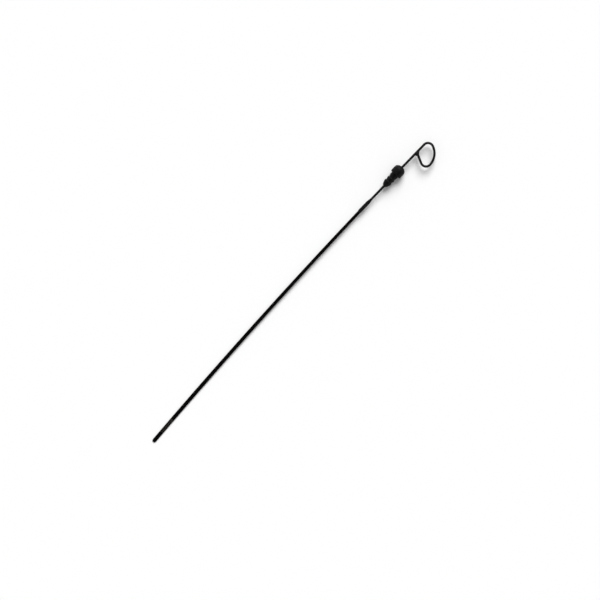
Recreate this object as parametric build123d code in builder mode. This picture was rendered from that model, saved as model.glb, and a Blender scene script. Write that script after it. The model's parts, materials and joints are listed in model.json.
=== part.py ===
from build123d import *
import os
from math import asin, atan2, cos, degrees, hypot, radians, sin, sqrt

# Engine oil dipstick: a bent wire handle, a moulded rubber stopper and a flat spring-steel blade.
# It is drawn along X, in millimetres and degrees, with the seat of the cap at X = 0, the finger loop
# towards +X and the blade towards -X. The loop and the bow of the blade lie in the XY plane.
# Last, the finished stick is laid down on the floor, which is Z = 0.

# Handle wire: finger loop
wire_diameter = 3.75
loop_start = 62.75
loop_end_radius = 7.95
loop_first_turn = 109.6
loop_far_radius = 25.1
loop_far_turn = 69.5
loop_leg_angle = 65.4
weld_length = 10.8
weld_diameter = 4.35

# Handle wire: stem, its staked ears inside the cap, and the pressed tang
stem_below_seat = 50.0
stake_length = 4.0
stake_width = 5.8
stake_thickness = 2.2
stake_corner = 0.8
shoulder_length = 9.5
shoulder_steps = 3
tang_length = 19.0
tang_width = 5.8
tang_thickness = 2.05

# Stopper: domed cap and three-lipped plug
cap_diameter = 18.1
cap_skirt = 8.8
cap_dome_height = 7.1
cap_edge_radius = 2.0
neck_length = 2.5
lip_count = 3
lip_diameter = 12.0
lip_root_diameter = 10.1
lip_pitch = 6.1
lip_land = 0.6
lip_back = 1.1
lip_front = 3.3
lip_edge_radius = 0.25
nose_length = 8.7
nose_diameter = 5.5
nose_bulge = 0.65

# Blade: a flat strip, bowed in its own plane
blade_length = 479.4
blade_head_gap = 1.5
blade_head_width = 4.8
blade_tip_width = 6.0
blade_thickness = 1.4
blade_edge_radius = 0.3
blade_set_angle = 0.59
blade_bow_radius = 8770.0

# Spot welds of the blade on the tang
spot_inset = 4.5
spot_sphere_radius = 4.0
spot_depth = 0.15

# Level marks stamped into the blade, measured from its tip
low_mark = 20.0
full_mark = 44.0
groove_width = 0.5
groove_depth = 0.15
mark_clearance = 0.2
hatch_pitch = 3.0
hatch_angle = 45.0

# Places worked out from the sizes above
wire_radius = wire_diameter / 2
leg_sink = wire_radius / 2
cap_radius = cap_diameter / 2
lip_radius = lip_diameter / 2
root_radius = lip_root_diameter / 2
stake_x = cap_skirt / 2
shoulder_x = -stem_below_seat
tang_start = shoulder_x - shoulder_length
tang_end = tang_start - tang_length
lap_plane = Plane.XY.offset(-tang_thickness / 2)
blade_under = -tang_thickness / 2 - blade_thickness
blade_head = tang_start - blade_head_gap
spot_places = (blade_head - spot_inset, tang_end + spot_inset)


def across(x):
    """The plane square to the stick at x, with its own x along Y and its own y along Z."""
    return Plane(origin=(x, 0, 0), x_dir=(0, 1, 0), z_dir=(1, 0, 0))


def pressed_section(share):
    """Outline of the wire on its way from round (share 0) to flat with round sides (share 1)."""
    diagonal = wire_radius / sqrt(2)
    half_width = wire_radius + (tang_width / 2 - wire_radius) * share
    half_height = wire_radius + (tang_thickness / 2 - wire_radius) * share
    corner_x = diagonal + (tang_width / 2 - tang_thickness / 2 - diagonal) * share
    corner_y = diagonal + (tang_thickness / 2 - diagonal) * share
    for side in (1, -1):
        left = (-corner_x * side, corner_y * side)
        right = (corner_x * side, corner_y * side)
        below = (corner_x * side, -corner_y * side)
        if share < 1:
            ThreePointArc(left, (0, half_height * side), right)
        else:
            Line(left, right)
        ThreePointArc(right, (half_width * side, 0), below)


# Handle wire
with BuildPart() as handle_wire:
    # The straight stem, from the tang's shoulder to the first bend of the loop
    with BuildSketch(across(shoulder_x)):
        Circle(wire_radius)
    extrude(amount=loop_start - shoulder_x)

    # The loop: two tight bends, a wide far side between them, and a straight leg back to the stem
    with BuildLine() as loop_path:
        first_end = JernArc((loop_start, 0), (1, 0), loop_end_radius, -loop_first_turn)
        far_side = JernArc(first_end @ 1, first_end % 1, loop_far_radius, -loop_far_turn)
        last_turn = 360 - loop_first_turn - loop_far_turn - loop_leg_angle
        last_end = JernArc(far_side @ 1, far_side % 1, loop_end_radius, -last_turn)
        leg_rise = -leg_sink - (last_end @ 1).Y
        leg = Line(last_end @ 1, last_end @ 1 + (last_end % 1) * (leg_rise / sin(radians(loop_leg_angle))))
    with BuildSketch(across(loop_start)):
        Circle(wire_radius)
    sweep(path=loop_path.wire())

    # The bead that welds the wire's end to the stem
    weld_x = (leg @ 1).X - leg_sink
    with BuildSketch():
        with Locations((weld_x, -wire_radius)):
            Ellipse(weld_length / 2, weld_diameter / 2)
        split(bisect_by=Plane.XZ.offset(wire_radius))
    revolve(axis=Axis((weld_x, -wire_radius, 0), (1, 0, 0)))

    # Ears staked out of the wire, which hold the moulded cap
    with BuildSketch() as stake:
        with Locations((stake_x, 0)):
            Rectangle(stake_length, stake_width)
        fillet(stake.vertices(), stake_corner)
    extrude(amount=stake_thickness / 2, both=True)

    # The shoulder, pressed from round to flat
    for step in range(shoulder_steps + 1):
        way = step / shoulder_steps
        with BuildSketch(across(shoulder_x - shoulder_length * way)):
            with BuildLine():
                pressed_section(way * way * (3 - 2 * way))
            make_face()
    loft()

    # The flat tang, rounded at its end
    with BuildSketch(across(tang_start)):
        with BuildLine():
            pressed_section(1)
        make_face()
    extrude(amount=-tang_length)
    with BuildSketch():
        with Locations((tang_end, 0)):
            Rectangle(tang_width, 2 * tang_width)
        with Locations((tang_end + tang_width, 0)):
            SlotOverall(2 * tang_width, tang_width, mode=Mode.SUBTRACT)
    extrude(amount=tang_thickness, both=True, mode=Mode.SUBTRACT)

    # Electrode marks of the two spot welds
    spot_height = tang_thickness / 2 + spot_sphere_radius - spot_depth
    with Locations(*[(x, 0, spot_height) for x in spot_places]):
        Sphere(spot_sphere_radius, mode=Mode.SUBTRACT)
handle_wire.part.label = "handle_wire"

# Stopper
with BuildPart() as stopper:
    with BuildSketch() as stopper_half:
        with BuildLine():
            last_crest = -neck_length - lip_pitch * (lip_count - 1)
            nose_x = last_crest - nose_length
            nose_rim = (nose_x, nose_diameter / 2)
            Line((nose_x, 0), nose_rim)
            SagittaArc(nose_rim, (last_crest - lip_land, lip_radius), nose_bulge)
            for lip in range(lip_count - 1):
                crest = last_crest + lip_pitch * lip
                next_land = crest + lip_pitch - lip_land
                Polyline(
                    (crest - lip_land, lip_radius),
                    (crest, lip_radius),
                    (crest + lip_back, root_radius),
                    (next_land - lip_front, root_radius),
                    (next_land, lip_radius),
                )
            # The topmost lip runs on as a straight neck to the cap's flat seat
            seat_rim = (0, cap_radius - cap_edge_radius)
            Polyline((-neck_length - lip_land, lip_radius), (0, lip_radius), seat_rim)
            rim = JernArc(seat_rim, (0, 1), cap_edge_radius, -90)
            Line(rim @ 1, (cap_skirt, cap_radius))
            EllipticalCenterArc((cap_skirt, 0), cap_dome_height, cap_radius, start_angle=0, arc_size=90)
            Line((cap_skirt + cap_dome_height, 0), (nose_x, 0))
        make_face()
        nose_middle = nose_x + nose_length / 2
        lip_corners = stopper_half.vertices().filter_by_position(Axis.X, nose_middle, -neck_length / 2)
        fillet(lip_corners, lip_edge_radius)
    revolve(axis=Axis.X)
    # The bore is the wire's own shape, because the rubber is moulded round it
    add(handle_wire.part, mode=Mode.SUBTRACT)
stopper.part.label = "stopper"

# Blade
spine_length = blade_length - blade_head_width / 2 - blade_tip_width / 2
spine_turn = degrees(spine_length / blade_bow_radius)
lap_middle = Vector((blade_head + tang_end) / 2, 0)
heading = Vector(-1, 0).rotate(Axis.Z, blade_set_angle)
spine_start = lap_middle - heading * ((blade_head - tang_end) / 2 - blade_head_width / 2)
with BuildLine(mode=Mode.PRIVATE):
    spine = JernArc(spine_start, heading, blade_bow_radius, spine_turn)


def beside(way, side):
    """A point on the blade's edge: way from head to tip along its spine, side 1 or -1."""
    half_width = (blade_head_width + (blade_tip_width - blade_head_width) * way) / 2
    return spine @ way + (spine % way).rotate(Axis.Z, 90 * side) * half_width


with BuildPart() as blade:
    with BuildSketch(lap_plane):
        with BuildLine():
            ThreePointArc(beside(0, 1), beside(0.5, 1), beside(1, 1))
            ThreePointArc(beside(1, 1), spine @ 1 + (spine % 1) * (blade_tip_width / 2), beside(1, -1))
            ThreePointArc(beside(1, -1), beside(0.5, -1), beside(0, -1))
            ThreePointArc(beside(0, -1), spine @ 0 - (spine % 0) * (blade_head_width / 2), beside(0, 1))
        make_face()
    extrude(amount=-blade_thickness)
    fillet(blade.edges().filter_by(Axis.Z, reverse=True), blade_edge_radius)

    # Level marks: a line across at each mark and crossed hatching between them, clear of the round edges
    zone_length = full_mark - low_mark
    zone_way = 1 - ((low_mark + full_mark) / 2 - blade_tip_width / 2) / spine_length
    zone_edge = blade_edge_radius + mark_clearance
    zone_width = blade_head_width + (blade_tip_width - blade_head_width) * zone_way - 2 * zone_edge
    zone = Plane(origin=spine @ zone_way, x_dir=spine % zone_way, z_dir=(0, 0, 1))
    with BuildSketch(zone.offset(-tang_thickness / 2)):
        hatch_count = int(zone_length / hatch_pitch)
        for slant in (hatch_angle, -hatch_angle):
            with GridLocations(hatch_pitch, 0, hatch_count, 1):
                Rectangle(groove_width, 2 * zone_width, rotation=slant)
        Rectangle(zone_length, zone_width, mode=Mode.INTERSECT)
        with GridLocations(zone_length, 0, 2, 1):
            Rectangle(groove_width, zone_width)
    extrude(amount=-groove_depth, mode=Mode.SUBTRACT)

    # Electrode marks of the two spot welds, on the underside
    spot_height = blade_under - spot_sphere_radius + spot_depth
    with Locations(*[(x, 0, spot_height) for x in spot_places]):
        Sphere(spot_sphere_radius, mode=Mode.SUBTRACT)
blade.part.label = "blade"

# At rest the stick lies on the rounded rim of its cap and the rounded end of its blade,
# so its pitch is that of the line under those two roundings.
rim_x = cap_edge_radius
rim_z = cap_edge_radius - cap_radius
end_x = (spine @ 1).X - blade_tip_width / 2 + blade_edge_radius
end_z = blade_under + blade_edge_radius
run = rim_x - end_x
rise = end_z - rim_z
pitch = atan2(rise, run) + asin((cap_edge_radius - blade_edge_radius) / hypot(run, rise))
lift = cap_edge_radius - rim_x * sin(pitch) - rim_z * cos(pitch)

pieces = (handle_wire, stopper, blade)
for piece in pieces:
    piece.part.move(Location((0, 0, lift), (0, -degrees(pitch), 0)))

# The origin is on the floor, under the middle of the lying stick
lying = handle_wire.part.bounding_box().add(stopper.part.bounding_box()).add(blade.part.bounding_box())
middle = lying.center()
for piece in pieces:
    piece.part.move(Location((-middle.X, -middle.Y, 0)))

os.makedirs("parts", exist_ok=True)
export_step(handle_wire.part, "parts/handle_wire.step")
export_step(stopper.part, "parts/stopper.step")
export_step(blade.part, "parts/blade.step")
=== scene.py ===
import json
from math import cos, degrees, exp, hypot, pi, radians, sin, sqrt, tan

import bmesh
import bpy
from bpy.props import FloatProperty, FloatVectorProperty, IntProperty, PointerProperty
from mathutils import Matrix, Vector, noise


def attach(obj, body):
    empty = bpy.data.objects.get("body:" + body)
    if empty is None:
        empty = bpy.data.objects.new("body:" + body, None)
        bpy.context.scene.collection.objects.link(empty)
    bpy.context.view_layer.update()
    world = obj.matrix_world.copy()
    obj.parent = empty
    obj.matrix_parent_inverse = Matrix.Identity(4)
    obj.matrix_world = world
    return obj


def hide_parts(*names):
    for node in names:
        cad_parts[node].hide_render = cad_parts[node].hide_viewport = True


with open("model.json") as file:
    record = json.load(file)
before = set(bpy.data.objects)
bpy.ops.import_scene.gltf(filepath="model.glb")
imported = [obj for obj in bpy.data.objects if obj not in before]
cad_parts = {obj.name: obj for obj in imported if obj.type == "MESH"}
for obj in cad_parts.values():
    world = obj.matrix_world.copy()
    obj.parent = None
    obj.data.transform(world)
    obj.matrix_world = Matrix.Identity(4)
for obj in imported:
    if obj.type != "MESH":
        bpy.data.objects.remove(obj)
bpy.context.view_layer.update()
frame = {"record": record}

bl_info = {
    "name": "Engine oil dipstick",
    "version": (1, 0, 0),
    "blender": (4, 5, 0),
    "location": "3D View > Sidebar > Dipstick",
    "description": "Dresses the lying dipstick: bent wire, rubber stopper, level blade and studio stage",
    "category": "Object",
}

MM = 0.001
BODY = "root"

# How finely the meshes are divided
RING = 64                # points round the wire, in four equal quarters
PLAIN_STEP = 4 * MM      # between rings on a plain stretch
CLOSEST = 0.01 * MM      # rings nearer than this are one ring
END_STEP = 6             # degrees between rings on a round end
ARC_STEP = 8             # degrees between points on a rounded corner
SHARP_TURN = 40          # degrees, above which an edge stays sharp


# Property helpers

def length(name, description, mm):
    """A size in metres, written in millimetres."""
    return FloatProperty(name=name, description=description, default=mm * MM, unit="LENGTH", precision=5)


def angle(name, description, turn):
    """An angle in radians, written in degrees."""
    return FloatProperty(name=name, description=description, default=radians(turn), subtype="ANGLE")


def linear(hex_code):
    """The linear red, green and blue of an sRGB hex value."""
    shares = [int(hex_code[k:k + 2], 16) / 255 for k in (1, 3, 5)]
    return [s / 12.92 if s <= 0.04045 else ((s + 0.055) / 1.055) ** 2.4 for s in shares]


def colour(name, description, hex_code):
    """A colour, written as an sRGB hex value."""
    return FloatVectorProperty(name=name, description=description, default=linear(hex_code), subtype="COLOR")


class WireSizes(bpy.types.PropertyGroup):
    """Sizes of the handle: the drawn wire, its finger loop, its weld and its pressed tang."""
    diameter: length("Wire diameter", "Diameter of the drawn wire", 3.75)
    loop_start: length("Loop start", "Straight stem from the cap's seat to the first bend", 62.75)
    end_radius: length("End bend radius", "Centre-line radius of the two tight bends", 7.95)
    first_turn: angle("First bend", "Turn of the first tight bend", 109.6)
    far_radius: length("Far side radius", "Centre-line radius of the loop's wide far side", 25.1)
    far_turn: angle("Far side", "Turn of the wide far side", 69.5)
    leg_angle: angle("Leg angle", "Angle at which the leg comes back to the stem", 65.4)
    weld_length: length("Weld length", "Length of the bead that closes the loop", 10.8)
    weld_diameter: length("Weld diameter", "Thickness of the bead that closes the loop", 4.35)
    weld_reach: length("Weld reach", "How far the bead runs down the leg", 3.5)
    weld_fill: FloatProperty(
        name="Weld fill", description="Fill of the bead's open side, from hollow at 0 to flat at 1",
        default=0.5, min=0, max=1, subtype="FACTOR",
    )
    weld_wrap: angle("Weld wrap", "Angle through which the bead wraps each side of the stem", 105.0)
    weld_sink: length("Weld sink", "Depth at which the bead's edges run into the wire", 0.08)
    weld_ripple: length("Weld ripple", "Spacing of the ripples that the welder's pulses leave", 0.8)
    stem_below_seat: length("Stem below seat", "Round stem from the cap's seat down to the shoulder", 50.0)
    shoulder_length: length("Shoulder length", "Stretch that is pressed from round to flat", 9.5)
    tang_length: length("Tang length", "Flat end that carries the blade", 19.0)
    tang_width: length("Tang width", "Width of the flat end", 5.8)
    tang_thickness: length("Tang thickness", "Thickness of the flat end", 2.05)


class StopperSizes(bpy.types.PropertyGroup):
    """Sizes of the moulded rubber stopper: domed cap, lipped plug and mould marks."""
    cap_diameter: length("Cap diameter", "Diameter of the cap's skirt", 18.1)
    cap_skirt: length("Skirt height", "Straight side of the cap", 8.8)
    dome_height: length("Dome height", "Height of the cap's dome", 7.1)
    rim_radius: length("Rim radius", "Rounding of the cap's lower rim", 2.0)
    neck_length: length("Neck length", "Straight neck between the cap's seat and the topmost lip", 2.5)
    lip_count: IntProperty(name="Lips", description="Number of sealing lips on the plug", default=3, min=1)
    lip_diameter: length("Lip diameter", "Diameter over the sealing lips", 12.0)
    root_diameter: length("Root diameter", "Diameter between the sealing lips", 10.1)
    lip_pitch: length("Lip pitch", "Distance from lip to lip", 6.1)
    lip_land: length("Lip land", "Straight crest of a lip", 0.6)
    lip_back: length("Lip back", "Steep side of a lip, towards the cap", 1.1)
    lip_front: length("Lip front", "Sloping side of a lip, towards the nose", 3.3)
    nose_length: length("Nose length", "Tapered nose below the last lip", 8.7)
    nose_diameter: length("Nose diameter", "Diameter of the nose's end", 5.5)
    nose_bulge: length("Nose bulge", "Outward bow of the nose's side", 0.65)
    edge_softness: length("Edge softness", "Rounding of the lips' edges", 0.25)
    collar: length("Collar", "Height and width of the rubber drawn up round the wire", 0.4)
    flash_height: length("Flash height", "Height of the mould's parting line", 0.10)
    flash_width: length("Flash width", "Width of the mould's parting line", 0.28)


class BladeSizes(bpy.types.PropertyGroup):
    """Sizes of the flat blade, its level marks and its spot welds."""
    length: length("Blade length", "Length of the strip along its bow", 479.4)
    head_gap: length("Head gap", "From the shoulder to the strip's upper end", 1.5)
    head_width: length("Head width", "Width of the strip at its upper end", 4.8)
    tip_width: length("Tip width", "Width of the strip at its tip", 6.0)
    thickness: length("Thickness", "Thickness of the strip", 1.4)
    edge_radius: length("Edge radius", "Rounding of the strip's rolled edges", 0.3)
    set_angle: angle("Set angle", "Turn of the strip against the stem", 0.59)
    bow_radius: length("Bow radius", "Radius of the strip's bow in its own plane", 8770.0)
    low_mark: length("Low mark", "Low oil level, from the tip", 20.0)
    full_mark: length("Full mark", "Full oil level, from the tip", 44.0)
    groove_width: length("Groove width", "Width of a pressed line", 0.5)
    groove_depth: length("Groove depth", "Depth of a pressed line", 0.15)
    mark_clearance: length("Mark clearance", "From the ends of the level marks to the rounded edge", 0.2)
    hatch_pitch: length("Hatch pitch", "Spacing of the crossed hatching", 3.0)
    hatch_angle: angle("Hatch angle", "Slant of the crossed hatching", 45.0)
    spot_inset: length("Spot inset", "From each end of the lap to its spot weld", 4.5)
    spot_radius: length("Electrode radius", "Radius of the electrode's round tip", 4.0)
    spot_depth: length("Spot depth", "Depth of an electrode mark", 0.15)


class Finishes(bpy.types.PropertyGroup):
    """Colours of the three black finishes."""
    wire: colour("Phosphate black", "Main colour of the wire's phosphate coat", "#0a0a0b")
    wire_worn: colour("Phosphate, rubbed", "Colour where the phosphate coat is rubbed", "#1f2021")
    rubber: colour("Rubber black", "Main colour of the rubber", "#090909")
    rubber_bloom: colour("Rubber bloom", "Colour of the faint bloom on old rubber", "#131313")
    steel: colour("Steel black", "Main colour of the blackened steel", "#28292b")
    steel_tint: colour("Steel tint", "Warmer tint in the blackened steel", "#332d29")
    steel_rubbed: colour("Steel, rubbed", "Colour of the strip's rubbed edges", "#4a4b4d")
    steel_slant: colour("Steel at a slant", "Tint of the oxide's sheen at a low angle", "#bcbcbc")


class StageSettings(bpy.types.PropertyGroup):
    """Camera, floor and light."""
    view_width: length("View width", "Width of the floor that the picture shows", 900.0)
    view_turn: angle("View turn", "Turn of the picture against the stick's length", 45.95)
    view_x: length("View centre X", "Middle of the picture, along the stick", -0.38)
    view_y: length("View centre Y", "Middle of the picture, across the stick", -18.12)
    camera_height: length("Camera height", "Height of the camera above the floor", 12000.0)
    floor_width: length("Floor width", "Width of the pale floor", 24000.0)
    floor_colour: colour("Floor", "Colour of the pale floor", "#fafafa")
    key_azimuth: angle("Key azimuth", "Direction that the key light comes from, from +X towards +Y", 28.3)
    key_elevation: angle("Key elevation", "Height of the key light above the horizon", 41.0)
    key_spread: angle("Key spread", "Apparent width of the soft key light", 38.0)
    key_level: FloatProperty(name="Key level", description="Floor's light from the key", default=0.70)
    fill_level: FloatProperty(name="Fill level", description="Floor's light from around", default=0.345)
    ceiling_level: FloatProperty(name="Ceiling level", description="Brightness overhead", default=0.03)
    wall_top: angle("Wall top", "Height up to which the surroundings are white", 25.0)
    ceiling_from: angle("Ceiling from", "Height above which the surroundings are dark", 55.0)


# Shape helpers

def stick_frame():
    """From the stick's own frame, with its origin at the cap's seat and x up the stem, to the row's."""
    mounts = {mount["name"]: mount for mount in frame["record"]["mounts"]}
    to_tip = Vector(mounts["plug"]["axis"]).normalized()
    on_axis = Vector(mounts["plug"]["pos_m"])
    on_seat = Vector(mounts["cap_seat"]["pos_m"])
    along = -to_tip
    side = Vector((0, 1, 0))
    matrix = Matrix((along, side, along.cross(side))).transposed().to_4x4()
    matrix.translation = on_axis + to_tip * (on_seat - on_axis).dot(to_tip)
    return matrix


def walk(path, distance):
    """The point and heading at a distance along a path of (length, curvature) stretches."""
    x, y, heading, stretches = path
    for stretch, curvature in stretches[:-1]:
        if distance <= stretch:
            return stride(x, y, heading, distance, curvature)
        x, y, heading = stride(x, y, heading, stretch, curvature)
        distance -= stretch
    return stride(x, y, heading, distance, stretches[-1][1])


def stride(x, y, heading, distance, curvature):
    """The point and heading after one stretch of even curvature."""
    if curvature == 0:
        return x + distance * cos(heading), y + distance * sin(heading), heading
    ahead = heading + distance * curvature
    return x + (sin(ahead) - sin(heading)) / curvature, y - (cos(ahead) - cos(heading)) / curvature, ahead


def stations(start, end, fine, also):
    """Places of rings from start to end: closer in each fine stretch (from, to, step), and each of also."""
    places = {start, end, *also}
    for low, high, step in ((start, end, PLAIN_STEP), *fine):
        count = max(1, round((high - low) / step))
        places.update(low + (high - low) * k / count for k in range(count + 1))
    ordered = sorted(place for place in places if start <= place <= end)
    return [place for k, place in enumerate(ordered) if k == 0 or place - ordered[k - 1] > CLOSEST]


def round_end(radius, first):
    """Distances of a round end's rings from its centre, outermost first. first is in degrees."""
    return [radius * cos(radians(turn)) for turn in range(first, 90, END_STEP)]


def skin(rings, joined=False):
    """Points and faces of a tube through rings of equal count, with its ends capped or joined."""
    count = len(rings[0])
    points = [point for ring in rings for point in ring]
    faces = []
    for near in range(len(rings) if joined else len(rings) - 1):
        far = (near + 1) % len(rings)
        for here in range(count):
            beside = (here + 1) % count
            corners = ((near, here), (near, beside), (far, beside), (far, here))
            faces.append(tuple(ring * count + place for ring, place in corners))
    if not joined:
        last = len(points) - count
        faces.append(tuple(range(count)))
        faces.append(tuple(range(last, last + count)))
    return points, faces


def make_piece(name, points, faces, material, slot, runs=None):
    """A smooth piece of the stick. runs holds each point's place on the straightened piece."""
    mesh = bpy.data.meshes.new(name)
    to_row = stick_frame()
    mesh.from_pydata([to_row @ Vector(point) for point in points], [], faces)
    if runs:
        attribute = mesh.attributes.new("run", "FLOAT_VECTOR", "POINT")
        attribute.data.foreach_set("vector", [value for run in runs for value in run])
    shape = bmesh.new()
    shape.from_mesh(mesh)
    bmesh.ops.recalc_face_normals(shape, faces=shape.faces)
    shape.to_mesh(mesh)
    shape.free()
    mesh.shade_smooth()
    mesh.set_sharp_from_angle(angle=radians(SHARP_TURN))
    mesh.materials.append(material)
    piece = bpy.data.objects.new(name, mesh)
    bpy.context.scene.collection.objects.link(piece)
    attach(piece, BODY)
    return piece


def ease(share):
    """A smooth step from 0 to 1."""
    share = min(max(share, 0), 1)
    return share * share * (3 - 2 * share)


# Spot welds

def spot_places(wire, blade):
    """Where the two spot welds lie along the stem, measured from the seat."""
    tang_start = -wire.stem_below_seat - wire.shoulder_length
    return tang_start - blade.head_gap - blade.spot_inset, tang_start - wire.tang_length + blade.spot_inset


def spot_stretches(spots, sizes, step):
    """A fine stretch over each electrode mark, to just past its rim."""
    reach = 0.4 * sizes.spot_radius
    return [(spot - reach, spot + reach, step) for spot in spots]


def electrode_mark(offset, sizes):
    """Depth of an electrode's round mark at an offset from its middle, with a slight raised rim."""
    bottom = sizes.spot_radius - sizes.spot_depth
    reach = sqrt(sizes.spot_radius ** 2 - bottom ** 2)
    rim_width = 0.35 * reach
    rim_height = 0.12 * sizes.spot_depth
    if offset < reach:
        return sqrt(sizes.spot_radius ** 2 - offset ** 2) - bottom
    rim = (offset - reach) / rim_width
    return -rim_height * sin(pi * rim) if rim < 1 else 0


# Handle wire

def wire_path(sizes):
    """The wire's centre line from the tang's end round the loop, and its length."""
    radius = sizes.diameter / 2
    tang_end = -sizes.stem_below_seat - sizes.shoulder_length - sizes.tang_length
    last_turn = 2 * pi - sizes.first_turn - sizes.far_turn - sizes.leg_angle
    stretches = [
        (sizes.loop_start - tang_end, 0),
        (sizes.first_turn * sizes.end_radius, -1 / sizes.end_radius),
        (sizes.far_turn * sizes.far_radius, -1 / sizes.far_radius),
        (last_turn * sizes.end_radius, -1 / sizes.end_radius),
    ]
    bends = sum(stretch for stretch, curvature in stretches)
    x, y, heading = walk((tang_end, 0, 0, stretches), bends)
    leg = (-radius / 2 - y) / sin(sizes.leg_angle)
    if leg <= 0:
        raise RuntimeError("The loop's bends leave no room for its leg")
    return (tang_end, 0, 0, [*stretches, (leg, 0)]), bends + leg


def wire_section(share, sizes):
    """The wire's section as (side, up) pairs: round at share 0, flat with round sides at share 1."""
    radius = sizes.diameter / 2
    edge = sizes.tang_thickness / 2
    flat = sizes.tang_width / 2 - edge
    quarter = RING // 4
    section = []
    for k in range(RING):
        turn = 2 * pi * k / RING - pi / 4
        way = (k % quarter) / quarter
        bend = pi * (way - 0.5)
        pressed = (
            (flat + edge * cos(bend), edge * sin(bend)),
            (flat - 2 * flat * way, edge),
            (-flat - edge * cos(bend), -edge * sin(bend)),
            (2 * flat * way - flat, -edge),
        )[k // quarter]
        section.append(tuple(
            (1 - share) * radius * plain + share * flattened
            for plain, flattened in zip((cos(turn), sin(turn)), pressed)
        ))
    return section


def wire_rings(sizes, blade):
    """Rings of points along the wire, and the same rings with the wire straightened."""
    path, total = wire_path(sizes)
    nose = sizes.tang_width / 2
    edge = sizes.tang_thickness / 2
    face = 0.9 * edge        # above this height the tang takes the electrodes' marks
    shoulder = sizes.tang_length
    round_from = shoulder + sizes.shoulder_length
    bends_from = sizes.loop_start - path[0]
    spots = [place - path[0] for place in spot_places(sizes, blade)]
    spot_step = 0.2 * MM
    shoulder_step = 0.6 * MM
    bend_step = 0.7 * MM
    fine = spot_stretches(spots, blade, spot_step)
    fine += [(shoulder, round_from, shoulder_step), (bends_from, total, bend_step)]
    nose_rings = [nose - distance for distance in round_end(nose, first=8)]
    rings = []
    straight = []
    for place in stations(nose_rings[0], total, fine, nose_rings):
        x, y, heading = walk(path, place)
        share = 1 - ease((place - shoulder) / sizes.shoulder_length)
        narrow = sqrt(1 - (1 - min(place / nose, 1)) ** 2)
        thin = sqrt(1 - (1 - min(place / edge, 1)) ** 2)
        ring = []
        run = []
        for side, up in wire_section(share, sizes):
            side *= narrow
            up *= thin
            if up > face and place < shoulder:
                up -= sum(electrode_mark(hypot(place - spot, side), blade) for spot in spots)
            ring.append((x - side * sin(heading), y + side * cos(heading), up))
            run.append((place, side, up))
        rings.append(ring)
        straight.append(run)
    return rings, straight


def weld_rings(sizes):
    """Rings of points over the rippled fillet weld round the leg's foot, from the stem down the leg."""
    path, total = wire_path(sizes)
    x, y, heading = walk(path, total)
    foot = Vector((x, y, 0))
    down = Vector((-cos(heading), -sin(heading), 0))
    radius = sizes.diameter / 2
    bed = radius - sizes.weld_sink
    half = sizes.weld_length / 2
    swell = (sizes.weld_diameter - sizes.diameter) / 2
    ripples = round(2 * (half + 2 * radius) / sizes.weld_ripple)
    ripple_slant = 0.9       # radians by which a ripple leads at the stem and lags on the leg
    ripple_share = 0.3       # of the bead's swell
    lump_share = 0.5         # of the bead's swell
    lumps_down = 2           # uneven places from the stem down the leg
    lumps_round = 1.5        # and across the bead
    outer_loss = 0.5         # share of the fill that is missing outside the loop
    middle = x - radius / 2  # of the bead, along the stem
    count = 8 * ripples      # eight points to a ripple
    rows = 16
    rings = [[] for row in range(rows + 1)]
    for k in range(count):
        turn = 2 * pi * k / count
        outward = Vector((sin(heading) * cos(turn), -cos(heading) * cos(turn), sin(turn)))
        wrap = sizes.weld_wrap * sin(turn)
        toe = Vector((middle + half * cos(turn), -bed * cos(wrap), bed * sin(wrap)))
        rise = foot + outward * radius
        corner = rise + down * ((-radius * abs(cos(turn)) - rise.y) / down.y)
        end = corner + down * sizes.weld_reach - outward * sizes.weld_sink
        fill = sizes.weld_fill * (1 - outer_loss * (1 - cos(turn)) / 2)
        filled = corner.lerp((toe + end) / 2, fill)
        for row, ring in enumerate(rings):
            way = row / rows
            lump = noise.noise(Vector((lumps_down * way, lumps_round * cos(turn), lumps_round * sin(turn))))
            ripple = abs(cos(ripples * turn / 2 + ripple_slant * cos(pi * way)))
            uneven = 1 - ripple_share + ripple_share * ripple + lump_share * lump
            plump = 4 * way * (1 - way) * swell * uneven
            point = toe * (1 - way) ** 2 + filled * (2 * way * (1 - way)) + end * way ** 2
            ring.append(tuple(point + outward * plump))
    return rings


# Stopper

def rounded(corners):
    """Points of an outline whose (point, radius) corners are rounded by arcs."""
    fewest_steps = 3
    outline = []
    for k, (point, radius) in enumerate(corners):
        here = Vector(point)
        if radius == 0 or k in (0, len(corners) - 1):
            outline.append(here)
            continue
        back = (Vector(corners[k - 1][0]) - here).normalized()
        ahead = (Vector(corners[k + 1][0]) - here).normalized()
        half = back.angle(ahead) / 2
        bisector = (back + ahead).normalized()
        centre = here + bisector * (radius / sin(half))
        start = here + back * (radius / tan(half)) - centre
        end = here + ahead * (radius / tan(half)) - centre
        steps = max(fewest_steps, round(degrees(pi - 2 * half) / ARC_STEP))
        outline += [centre + start.slerp(end, s / steps) * radius for s in range(steps + 1)]
    return outline


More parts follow.
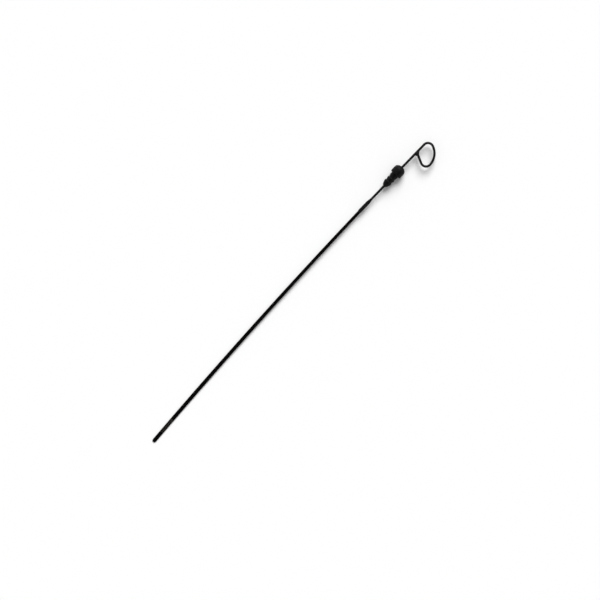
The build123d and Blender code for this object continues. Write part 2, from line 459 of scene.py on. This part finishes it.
def stopper_outline(sizes, bore):
    """Half of the stopper's section as (along, radius) points, from the nose's bore to the dome's bore."""
    nose_steps = 12
    dome_steps = 28
    soft = sizes.edge_softness
    collar = sizes.collar
    lip = sizes.lip_diameter / 2
    root = sizes.root_diameter / 2
    cap = sizes.cap_diameter / 2
    last_crest = -sizes.neck_length - sizes.lip_pitch * (sizes.lip_count - 1)
    nose = last_crest - sizes.nose_length
    nose_rim = Vector((nose, sizes.nose_diameter / 2))
    first_land = Vector((last_crest - sizes.lip_land, lip))
    outward = Vector((nose_rim.y - first_land.y, first_land.x - nose_rim.x)).normalized()
    corners = [((nose - collar, bore), 0), ((nose, bore + collar), collar), (nose_rim, 2 * soft)]
    for k in range(1, nose_steps):
        way = k / nose_steps
        bulge = sizes.nose_bulge * 4 * way * (1 - way)
        corners.append((nose_rim.lerp(first_land, way) + outward * bulge, 0))
    for k in range(sizes.lip_count):
        crest = last_crest + sizes.lip_pitch * k
        if k > 0:
            corners.append(((crest - sizes.lip_land - sizes.lip_front, root), soft))
        corners.append(((crest - sizes.lip_land, lip), soft))
        if k < sizes.lip_count - 1:
            corners.append(((crest, lip), soft))
            corners.append(((crest + sizes.lip_back, root), soft))
    corners += [((0, lip), soft), ((0, cap), sizes.rim_radius)]
    for k in range(dome_steps):
        turn = k / dome_steps * pi / 2
        radius = cap * cos(turn)
        if radius > bore + 2 * collar:
            corners.append(((sizes.cap_skirt + sizes.dome_height * sin(turn), radius), 0))
    top = sizes.cap_skirt + sizes.dome_height * sqrt(1 - ((bore + collar) / cap) ** 2)
    corners += [((top, bore + collar), collar), ((top + collar, bore), 0)]
    return rounded(corners)


def stopper_rings(sizes, bore):
    """Rings of points round the stopper, closer together at the mould's two parting lines."""
    sides = 144
    ridge_turns = (0.3, 0.7, 1.2, 1.8)      # degrees to each side of a parting line
    turns = {2 * pi * k / sides for k in range(sides)}
    for line in (0, pi):
        turns.update((line + side * radians(turn)) % (2 * pi) for turn in ridge_turns for side in (-1, 1))
    outline = stopper_outline(sizes, bore)
    rings = []
    for turn in sorted(turns):
        ring = []
        for along, radius in outline:
            half_widths = 2 * radius * abs(sin(turn)) / sizes.flash_width
            ridge = sizes.flash_height * exp(-half_widths ** 2) if radius > bore else 0
            ring.append((along, (radius + ridge) * cos(turn), (radius + ridge) * sin(turn)))
        rings.append(ring)
    return rings


# Blade

def blade_path(wire, sizes):
    """The blade's spine from its upper end to its tip, and the spine's length."""
    head = -wire.stem_below_seat - wire.shoulder_length - sizes.head_gap
    tang_end = -wire.stem_below_seat - wire.shoulder_length - wire.tang_length
    spine = sizes.length - (sizes.head_width + sizes.tip_width) / 2
    heading = pi + sizes.set_angle
    back = (head - tang_end) / 2 - sizes.head_width / 2
    x = (head + tang_end) / 2 - cos(heading) * back
    y = -sin(heading) * back
    return (x, y, heading, [(spine, 1 / sizes.bow_radius)]), spine


def level_marks(along, across, reach, sizes):
    """Depth of the pressed level marks at a place in their zone, which reaches so far to each side."""
    flat_share = 0.35                           # of a groove's width, taken by its bottom
    end_slope = 0.35 * sizes.groove_width
    half_zone = (sizes.full_mark - sizes.low_mark) / 2
    count = int(2 * half_zone / sizes.hatch_pitch)
    nearest = min(abs(abs(along) - half_zone), sizes.groove_width)
    if abs(along) < half_zone:
        for slant in (sizes.hatch_angle, -sizes.hatch_angle):
            for k in range(count):
                start = (k - (count - 1) / 2) * sizes.hatch_pitch
                nearest = min(nearest, abs((along - start) * cos(slant) + across * sin(slant)))
    wall = ease((2 * nearest / sizes.groove_width - flat_share) / (1 - flat_share))
    end = ease((reach - abs(across)) / end_slope)
    return sizes.groove_depth * (1 - wall) * end


def blade_offsets(half, edge):
    """Offsets across the blade from edge to edge, closest together where its edges are rounded."""
    edge_points = 8
    inner_points = 22                           # to each side of the middle
    edge_share = 0.8                            # most of the half width that a rounded edge takes
    inset = min(edge, edge_share * half)
    steps = [inset * (1 - cos(k * pi / (2 * (edge_points - 1)))) for k in range(edge_points)]
    inner = [(half - inset) * k / (inner_points + 1) for k in range(-inner_points, inner_points + 1)]
    return [-half + step for step in steps] + inner + [half - step for step in reversed(steps)]


def blade_rings(wire, sizes):
    """Rings of points along the blade, and the same rings with the blade straightened."""
    path, spine = blade_path(wire, sizes)
    head = sizes.head_width / 2
    tip = sizes.tip_width / 2
    edge = sizes.edge_radius
    top = -wire.tang_thickness / 2
    bottom = top - sizes.thickness
    marks = spine + tip - (sizes.low_mark + sizes.full_mark) / 2
    half_zone = (sizes.full_mark - sizes.low_mark) / 2 + sizes.groove_width
    reach = head + (tip - head) * marks / spine - edge - sizes.mark_clearance
    spots = [path[0] - place for place in spot_places(wire, sizes)]
    mark_step = 0.1 * MM
    spot_step = 0.16 * MM
    fine = [(marks - half_zone, marks + half_zone, mark_step), *spot_stretches(spots, sizes, spot_step)]
    head_rings = [-distance for distance in round_end(head, first=5)]
    tip_rings = [spine + distance for distance in round_end(tip, first=5)]
    rings = []
    straight = []
    for place in stations(head_rings[0], tip_rings[0], fine, head_rings + tip_rings):
        x, y, heading = walk(path, place)
        way = min(max(place / spine, 0), 1)
        full = head + (tip - head) * way
        past = max(-place, place - spine, 0)
        half = sqrt(full ** 2 - past ** 2)
        from_marks = place - marks
        upper = []
        lower = []
        for across in blade_offsets(half, edge):
            depth = min(full - hypot(across, past), edge)
            fall = edge - sqrt(max(edge ** 2 - (edge - depth) ** 2, 0))
            pressed = level_marks(from_marks, across, reach, sizes) if abs(from_marks) < half_zone else 0
            dimple = sum(electrode_mark(hypot(place - spot, across), sizes) for spot in spots)
            upper.append((across, top - fall - pressed))
            lower.append((across, bottom + fall + dimple))
        section = upper + lower[::-1]
        rings.append([(x - side * sin(heading), y + side * cos(heading), up) for side, up in section])
        straight.append([(place, side, up) for side, up in section])
    return rings, straight


# Materials

# Sockets of a Mix node that mixes colours, which share their names with its other sockets
FACTOR, FIRST, SECOND, MIXED = 0, 6, 7, 2


def add_node(tree, kind, values=None, links=None, **settings):
    """Adds one node with its settings, the values of its inputs and the outputs that feed them."""
    node = tree.nodes.new(kind)
    for name, value in settings.items():
        setattr(node, name, value)
    for socket, value in (values or {}).items():
        node.inputs[socket].default_value = value
    for socket, output in (links or {}).items():
        tree.links.new(output, node.inputs[socket])
    return node


def new_material(name):
    """An empty material and its node tree."""
    material = bpy.data.materials.new(name)
    material.use_nodes = True
    material.node_tree.nodes.clear()
    return material, material.node_tree


def phosphated_wire(finish):
    """Drawn steel wire, phosphated and oiled."""
    # The phosphate's fine crystals scatter light to a dull black. Faint lines from the drawing die
    # run along the wire, and handling leaves slightly smoother patches.
    material, tree = new_material("phosphated_drawn_wire")
    run = add_node(tree, "ShaderNodeAttribute", attribute_name="run").outputs["Vector"]
    # Die lines are about 0.05 mm wide and crystals 0.02 mm across. They are drawn 0.25 mm wide and
    # 0.2 mm across, so that they show.
    stretched = add_node(tree, "ShaderNodeVectorMath", {1: (30 * MM, 0.25 * MM, 0.25 * MM)}, {0: run},
                         operation="DIVIDE")
    lines = add_node(tree, "ShaderNodeTexNoise", {"Scale": 1, "Detail": 2, "Roughness": 0.6},
                     {"Vector": stretched.outputs[0]})
    crystals = add_node(tree, "ShaderNodeTexNoise", {"Scale": 1 / (0.2 * MM), "Detail": 3, "Roughness": 0.65},
                        {"Vector": run})
    patches = add_node(tree, "ShaderNodeTexNoise", {"Scale": 1 / (9 * MM), "Detail": 4, "Roughness": 0.6},
                       {"Vector": run})
    rubbed = add_node(tree, "ShaderNodeMapRange", {"From Min": 0.5, "From Max": 0.75},
                      {"Value": patches.outputs[0]}, interpolation_type="SMOOTHSTEP")
    tone = add_node(tree, "ShaderNodeMix", {FIRST: (*finish.wire, 1), SECOND: (*finish.wire_worn, 1)},
                    {FACTOR: rubbed.outputs[0]}, data_type="RGBA")
    gloss = add_node(tree, "ShaderNodeMapRange", {"To Min": 0.42, "To Max": 0.28},
                     {"Value": rubbed.outputs[0]})
    die = add_node(tree, "ShaderNodeBump", {"Strength": 0.5, "Distance": 0.03 * MM},
                   {"Height": lines.outputs[0]})
    grain = add_node(tree, "ShaderNodeBump", {"Strength": 0.4, "Distance": 0.02 * MM},
                     {"Height": crystals.outputs[0], "Normal": die.outputs[0]})
    shader = add_node(tree, "ShaderNodeBsdfPrincipled", {"Specular IOR Level": 0.2}, {
        "Base Color": tone.outputs[MIXED], "Roughness": gloss.outputs[0], "Normal": grain.outputs[0]})
    add_node(tree, "ShaderNodeOutputMaterial", links={"Surface": shader.outputs[0]})
    return material


def moulded_rubber(finish):
    """Nitrile rubber, moulded round the wire."""
    # A spark-eroded mould leaves a fine, even grain that kills the gloss. Old rubber has a faint,
    # uneven bloom.
    material, tree = new_material("moulded_nitrile_rubber")
    place = add_node(tree, "ShaderNodeTexCoord").outputs["Object"]
    # The mould's grain is about 0.1 mm across. It is drawn 0.35 mm across, so that it shows.
    grain = add_node(tree, "ShaderNodeTexNoise", {"Scale": 1 / (0.35 * MM), "Detail": 2, "Roughness": 0.5},
                     {"Vector": place})
    bloom = add_node(tree, "ShaderNodeTexNoise", {"Scale": 1 / (6 * MM), "Detail": 5, "Roughness": 0.65},
                     {"Vector": place})
    dusty = add_node(tree, "ShaderNodeMapRange", {"From Min": 0.45, "From Max": 0.75},
                     {"Value": bloom.outputs[0]}, interpolation_type="SMOOTHSTEP")
    tone = add_node(tree, "ShaderNodeMix", {FIRST: (*finish.rubber, 1), SECOND: (*finish.rubber_bloom, 1)},
                    {FACTOR: dusty.outputs[0]}, data_type="RGBA")
    gloss = add_node(tree, "ShaderNodeMapRange", {"To Min": 0.5, "To Max": 0.72}, {"Value": dusty.outputs[0]})
    bump = add_node(tree, "ShaderNodeBump", {"Strength": 0.8, "Distance": 0.08 * MM},
                    {"Height": grain.outputs[0]})
    shader = add_node(tree, "ShaderNodeBsdfPrincipled", {"Specular IOR Level": 0.1}, {
        "Base Color": tone.outputs[MIXED], "Roughness": gloss.outputs[0], "Normal": bump.outputs[0]})
    add_node(tree, "ShaderNodeOutputMaterial", links={"Surface": shader.outputs[0]})
    return material


def blackened_steel(finish, sizes):
    """Cold-rolled spring steel, hardened and blackened in oil."""
    # Rolling leaves fine straight lines along the strip, the oil bath a dark oxide with a slightly
    # warm or cool tint, and the tube rubs the edges a little brighter. The oxide stays dark at a low
    # angle, where bare steel would shine.
    material, tree = new_material("blackened_spring_steel")
    run = add_node(tree, "ShaderNodeAttribute", attribute_name="run").outputs["Vector"]
    # Rolling lines are about 0.03 mm wide. They are drawn 0.2 mm wide, so that they show.
    stretched = add_node(tree, "ShaderNodeVectorMath", {1: (60 * MM, 0.2 * MM, 0.2 * MM)}, {0: run},
                         operation="DIVIDE")
    lines = add_node(tree, "ShaderNodeTexNoise", {"Scale": 1, "Detail": 3, "Roughness": 0.6},
                     {"Vector": stretched.outputs[0]})
    clouds = add_node(tree, "ShaderNodeTexNoise", {"Scale": 1 / (25 * MM), "Detail": 4, "Roughness": 0.55},
                      {"Vector": run})
    scuffs = add_node(tree, "ShaderNodeTexNoise", {"Scale": 1 / (2.5 * MM), "Detail": 4, "Roughness": 0.6},
                      {"Vector": run})
    tint = add_node(tree, "ShaderNodeMix", {FIRST: (*finish.steel, 1), SECOND: (*finish.steel_tint, 1)},
                    {FACTOR: clouds.outputs[0]}, data_type="RGBA")
    split = add_node(tree, "ShaderNodeSeparateXYZ", links={0: run})
    across = add_node(tree, "ShaderNodeMath", links={0: split.outputs["Y"]}, operation="ABSOLUTE")
    half = sizes.tip_width / 2
    rubbed_width = 0.6 * MM
    rim = add_node(tree, "ShaderNodeMapRange", {"From Min": half - rubbed_width, "From Max": half},
                   {"Value": across.outputs[0]}, interpolation_type="SMOOTHSTEP")
    rubbed = add_node(tree, "ShaderNodeMath", links={0: rim.outputs[0], 1: scuffs.outputs[0]},
                      operation="MULTIPLY")
    tone = add_node(tree, "ShaderNodeMix", {SECOND: (*finish.steel_rubbed, 1)},
                    {FACTOR: rubbed.outputs[0], FIRST: tint.outputs[MIXED]}, data_type="RGBA")
    gloss = add_node(tree, "ShaderNodeMapRange", {"To Min": 0.18, "To Max": 0.38},
                     {"Value": lines.outputs[0]})
    bump = add_node(tree, "ShaderNodeBump", {"Strength": 0.2, "Distance": 0.02 * MM},
                    {"Height": lines.outputs[0]})
    shader = add_node(tree, "ShaderNodeBsdfPrincipled", {
        "Metallic": 1.0, "Specular Tint": (*finish.steel_slant, 1),
    }, {"Base Color": tone.outputs[MIXED], "Roughness": gloss.outputs[0], "Normal": bump.outputs[0]})
    add_node(tree, "ShaderNodeOutputMaterial", links={"Surface": shader.outputs[0]})
    return material


def pale_floor(tone):
    """Matt white paint: it scatters evenly and shows nothing but the soft shadow."""
    material, tree = new_material("matt_white_paint")
    shader = add_node(tree, "ShaderNodeBsdfDiffuse", {"Color": (*tone, 1)})
    add_node(tree, "ShaderNodeOutputMaterial", links={"Surface": shader.outputs[0]})
    return material


# Stage

def lay_floor(scene, stage):
    """The pale floor that the stick lies on."""
    half = stage.floor_width / 2
    corners = [(-half, -half, 0), (half, -half, 0), (half, half, 0), (-half, half, 0)]
    mesh = bpy.data.meshes.new("floor")
    mesh.from_pydata(corners, [], [(0, 1, 2, 3)])
    mesh.materials.append(pale_floor(stage.floor_colour))
    floor = bpy.data.objects.new("floor", mesh)
    scene.collection.objects.link(floor)


def hang_key(scene, stage):
    """The soft key light. At any elevation it gives the floor the same level."""
    key = bpy.data.lights.new("soft_key", "SUN")
    key.energy = stage.key_level * pi / sin(stage.key_elevation)
    key.angle = stage.key_spread
    lamp = bpy.data.objects.new("soft_key", key)
    lamp.rotation_euler = (0, pi / 2 - stage.key_elevation, stage.key_azimuth)
    scene.collection.objects.link(lamp)


def surroundings(stage):
    """A world that lights the stick softly from all around."""
    # Seen directly or mirrored, the surroundings are plain white walls below a dark ceiling.
    world = bpy.data.worlds.new("studio")
    world.use_nodes = True
    tree = world.node_tree
    tree.nodes.clear()
    rays = add_node(tree, "ShaderNodeLightPath").outputs
    direct = add_node(tree, "ShaderNodeMath", links={0: rays["Is Camera Ray"], 1: rays["Is Glossy Ray"]},
                      operation="ADD")
    seen = add_node(tree, "ShaderNodeMath", links={0: direct.outputs[0], 1: rays["Is Transmission Ray"]},
                    operation="ADD", use_clamp=True)
    towards = add_node(tree, "ShaderNodeTexCoord").outputs["Generated"]
    split = add_node(tree, "ShaderNodeSeparateXYZ", links={0: towards})
    walls = add_node(tree, "ShaderNodeMapRange", {
        "From Min": sin(stage.wall_top), "From Max": sin(stage.ceiling_from),
        "To Min": 1, "To Max": stage.ceiling_level,
    }, {"Value": split.outputs["Z"]}, interpolation_type="SMOOTHSTEP")
    level = add_node(tree, "ShaderNodeMapRange", {"To Min": stage.fill_level},
                     {"Value": seen.outputs[0], "To Max": walls.outputs[0]})
    sky = add_node(tree, "ShaderNodeBackground", {"Color": (1, 1, 1, 1)}, {"Strength": level.outputs[0]})
    add_node(tree, "ShaderNodeOutputWorld", links={"Surface": sky.outputs[0]})
    return world


def set_camera(scene, stage):
    """The camera, which looks straight down from far above."""
    lens = bpy.data.cameras.new("camera")
    lens.lens = lens.sensor_width * stage.camera_height / stage.view_width
    camera = bpy.data.objects.new("camera", lens)
    camera.location = (stage.view_x, stage.view_y, stage.camera_height)
    camera.rotation_euler = (0, 0, -stage.view_turn)
    scene.collection.objects.link(camera)
    scene.camera = camera


# Operators

class DIPSTICK_OT_wire(bpy.types.Operator):
    """Builds the bent handle wire, with its pressed tang and the weld that closes the loop"""
    bl_idname = "dipstick.wire"
    bl_label = "Handle wire"

    def execute(self, context):
        scene = context.scene
        material = phosphated_wire(scene.dipstick_finishes)
        rings, straight = wire_rings(scene.dipstick_wire, scene.dipstick_blade)
        runs = [run for ring in straight for run in ring]
        wire = make_piece("bent_wire", *skin(rings), material, "black_wire", runs)
        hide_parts("handle_wire")
        points, faces = skin(weld_rings(scene.dipstick_wire))
        make_piece("loop_weld", points, faces, material, "black_wire", points)
        return {"FINISHED"}


class DIPSTICK_OT_stopper(bpy.types.Operator):
    """Builds the moulded rubber stopper, with its dome, lips and parting lines"""
    bl_idname = "dipstick.stopper"
    bl_label = "Stopper"

    def execute(self, context):
        scene = context.scene
        rings = stopper_rings(scene.dipstick_stopper, scene.dipstick_wire.diameter / 2)
        material = moulded_rubber(scene.dipstick_finishes)
        stopper = make_piece("rubber_stopper", *skin(rings, joined=True), material, "rubber")
        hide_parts("stopper")
        return {"FINISHED"}


class DIPSTICK_OT_blade(bpy.types.Operator):
    """Builds the bowed blade, with its level marks and electrode marks"""
    bl_idname = "dipstick.blade"
    bl_label = "Blade"

    def execute(self, context):
        scene = context.scene
        rings, straight = blade_rings(scene.dipstick_wire, scene.dipstick_blade)
        runs = [run for ring in straight for run in ring]
        material = blackened_steel(scene.dipstick_finishes, scene.dipstick_blade)
        blade = make_piece("level_blade", *skin(rings), material, "blade_steel", runs)
        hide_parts("blade")
        return {"FINISHED"}


class DIPSTICK_OT_stage(bpy.types.Operator):
    """Sets the pale floor, the soft light and the camera that looks straight down"""
    bl_idname = "dipstick.stage"
    bl_label = "Stage"

    def execute(self, context):
        scene = context.scene
        stage = scene.dipstick_stage
        lay_floor(scene, stage)
        hang_key(scene, stage)
        scene.world = surroundings(stage)
        set_camera(scene, stage)
        scene.view_settings.view_transform = "Standard"
        return {"FINISHED"}


class DIPSTICK_PT_panel(bpy.types.Panel):
    """The dipstick's pieces and their sizes"""
    bl_idname = "DIPSTICK_PT_panel"
    bl_label = "Dipstick"
    bl_space_type = "VIEW_3D"
    bl_region_type = "UI"
    bl_category = "Dipstick"

    def draw(self, context):
        for group, operators in SECTIONS:
            box = self.layout.box()
            for operator in operators:
                box.operator(operator.bl_idname)
            settings = getattr(context.scene, group)
            for name in settings.__annotations__:
                box.prop(settings, name)


GROUPS = {
    "dipstick_wire": WireSizes,
    "dipstick_stopper": StopperSizes,
    "dipstick_blade": BladeSizes,
    "dipstick_finishes": Finishes,
    "dipstick_stage": StageSettings,
}
SECTIONS = (
    ("dipstick_wire", [DIPSTICK_OT_wire]),
    ("dipstick_stopper", [DIPSTICK_OT_stopper]),
    ("dipstick_blade", [DIPSTICK_OT_blade]),
    ("dipstick_finishes", []),
    ("dipstick_stage", [DIPSTICK_OT_stage]),
)
OPERATORS = [operator for group, operators in SECTIONS for operator in operators]


def register():
    for kind in (*GROUPS.values(), *OPERATORS, DIPSTICK_PT_panel):
        bpy.utils.register_class(kind)
    for name, group in GROUPS.items():
        setattr(bpy.types.Scene, name, PointerProperty(type=group))


def unregister():
    for name in GROUPS:
        delattr(bpy.types.Scene, name)
    for kind in (DIPSTICK_PT_panel, *OPERATORS, *GROUPS.values()):
        bpy.utils.unregister_class(kind)


def main():
    """Builds the pieces and the stage."""
    register()
    bpy.ops.dipstick.wire()
    bpy.ops.dipstick.stopper()
    bpy.ops.dipstick.blade()
    bpy.ops.dipstick.stage()


if __name__ == "__main__":
    main()
